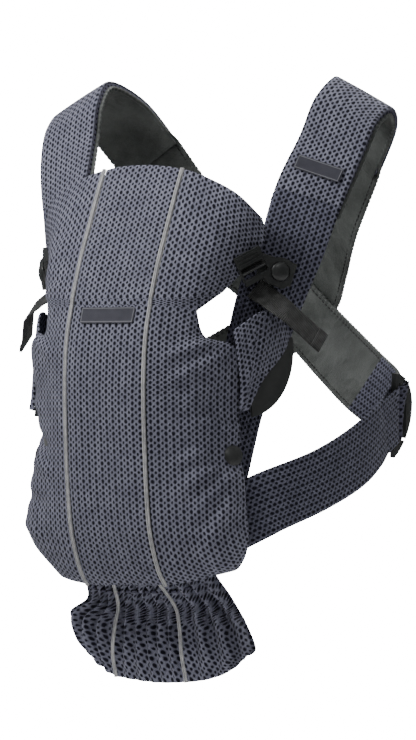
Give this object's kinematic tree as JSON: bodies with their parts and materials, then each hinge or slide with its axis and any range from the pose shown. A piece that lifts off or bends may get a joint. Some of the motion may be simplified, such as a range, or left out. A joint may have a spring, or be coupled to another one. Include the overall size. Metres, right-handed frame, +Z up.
{
  "type": "soft baby carrier",
  "caption": "Soft front carrier: mesh pouch with a folding head support, padded shoulder straps crossing at the back, waist straps, moulded buckles and a gathered ruffle.",
  "frame": {"origin": "midway between the tops of the two shoulder crowns, where the straps rest on the wearer", "axes": "+Z up, +X towards the pouch's right-hand strap seen from the front, the pouch faces -Y"},
  "size_m": [0.3965, 0.3882, 0.598],
  "materials": {
    "mesh": "matte spacer mesh",
    "lining": "soft knitted lining",
    "label_patch": "blank woven patch",
    "piping": "satin corded edge",
    "webbing": "ribbed webbing",
    "plastic": "satin moulded plastic",
    "satin": "smooth woven satin",
    "foam": "soft closed-cell foam"
  },
  "bodies": {
    "harness": {"centre_panel": "mesh", "side_panel_right": "mesh", "side_panel_left": "mesh", "pouch_lining": "lining", "pouch_piping_right": "piping", "pouch_piping_left": "piping", "seat_panel": "mesh", "belly_band": "satin", "pouch_label": "label_patch", "buckle_base_right": "plastic", "buckle_base_left": "plastic", "buckle_patch_right": "satin", "buckle_patch_left": "satin", "wing_root_right": "mesh", "wing_root_left": "mesh", "clasp_base_right": "plastic", "clasp_base_left": "plastic", "snap_cap_right": "plastic", "snap_cap_left": "plastic", "front_strip_right": "mesh", "front_strip_left": "mesh", "shoulder_cover_right": "mesh", "shoulder_cover_left": "mesh", "shoulder_pad_right": "foam", "shoulder_pad_left": "foam", "shoulder_lining_right": "lining", "shoulder_lining_left": "lining", "strap_label": "label_patch", "back_strap_right": "satin", "back_strap_left": "satin", "cross_patch": "satin", "waist_strap_right": "mesh", "waist_strap_left": "mesh", "back_loop_right": "satin", "back_loop_left": "satin"},
    "head_support": {"head_centre_panel": "mesh", "head_side_right": "mesh", "head_side_left": "mesh", "head_piping_right": "piping", "head_piping_left": "piping", "head_stiffener": "foam", "head_lining": "lining", "head_webbing_right": "webbing", "head_webbing_left": "webbing", "buckle_plate_right": "plastic", "buckle_plate_left": "plastic"},
    "button_right": {"release_button_right": "plastic"},
    "tail_right": {"webbing_tail_right": "webbing"},
    "wing_right": {"wing_flap_right": "mesh", "clasp_leaf_right": "plastic"},
    "snap_right": {"snap_stud_right": "plastic"},
    "slider_right": {"slider_right": "plastic"},
    "button_left": {"release_button_left": "plastic"},
    "tail_left": {"webbing_tail_left": "webbing"},
    "wing_left": {"wing_flap_left": "mesh", "clasp_leaf_left": "plastic"},
    "snap_left": {"snap_stud_left": "plastic"},
    "slider_left": {"slider_left": "plastic"},
    "ruffle": {"ruffle": "mesh", "ruffle_pipings": "piping"}
  },
  "joints": [
    {"name": "head_support_fold", "type": "hinge", "parent": "harness", "child": "head_support", "pos_m": [0, -0.208, -0.205], "axis": [1, 0, 0], "range_deg": [0, 140]},
    {"name": "release_button_right", "type": "slide", "parent": "head_support", "child": "button_right", "axis": [-0.7443, 0.663, 0.0805], "range_m": [0, 0.0015], "stiffness_N_per_m": 500},
    {"name": "webbing_tail_right", "type": "slide", "parent": "head_support", "child": "tail_right", "axis": [0.4693, 0.6049, -0.6433], "range_m": [0, 0.005]},
    {"name": "wing_flap_right", "type": "hinge", "parent": "harness", "child": "wing_right", "pos_m": [0.12829, -0.14603, -0.26185], "axis": [-0.0698, -0.2608, -0.9629], "range_deg": [0, 20]},
    {"name": "snap_right", "type": "slide", "parent": "harness", "child": "snap_right", "axis": [-0.8753, 0.4602, -0.1483], "range_m": [0, 0.006]},
    {"name": "waist_slider_right", "type": "hinge", "parent": "harness", "child": "slider_right", "pos_m": [0.1692, 0.06109, -0.3126], "axis": [0.2075, -0.2946, 0.9328], "range_deg": [0, 25]},
    {"name": "release_button_left", "type": "slide", "parent": "head_support", "child": "button_left", "axis": [0.7443, 0.663, 0.0805], "range_m": [0, 0.0015], "stiffness_N_per_m": 500},
    {"name": "webbing_tail_left", "type": "slide", "parent": "head_support", "child": "tail_left", "axis": [-0.4693, 0.6049, -0.6433], "range_m": [0, 0.005]},
    {"name": "wing_flap_left", "type": "hinge", "parent": "harness", "child": "wing_left", "pos_m": [-0.12829, -0.14603, -0.26185], "axis": [-0.0698, 0.2608, 0.9629], "range_deg": [0, 20]},
    {"name": "snap_left", "type": "slide", "parent": "harness", "child": "snap_left", "axis": [0.8753, 0.4602, -0.1483], "range_m": [0, 0.006]},
    {"name": "waist_slider_left", "type": "hinge", "parent": "harness", "child": "slider_left", "pos_m": [-0.1808, 0.06109, -0.3126], "axis": [0.2075, 0.2946, -0.9328], "range_deg": [0, 25]},
    {"name": "ruffle_swing", "type": "hinge", "parent": "harness", "child": "ruffle", "pos_m": [0, -0.1341, -0.499], "axis": [1, 0, 0], "range_deg": [-35, 20]}
  ]
}
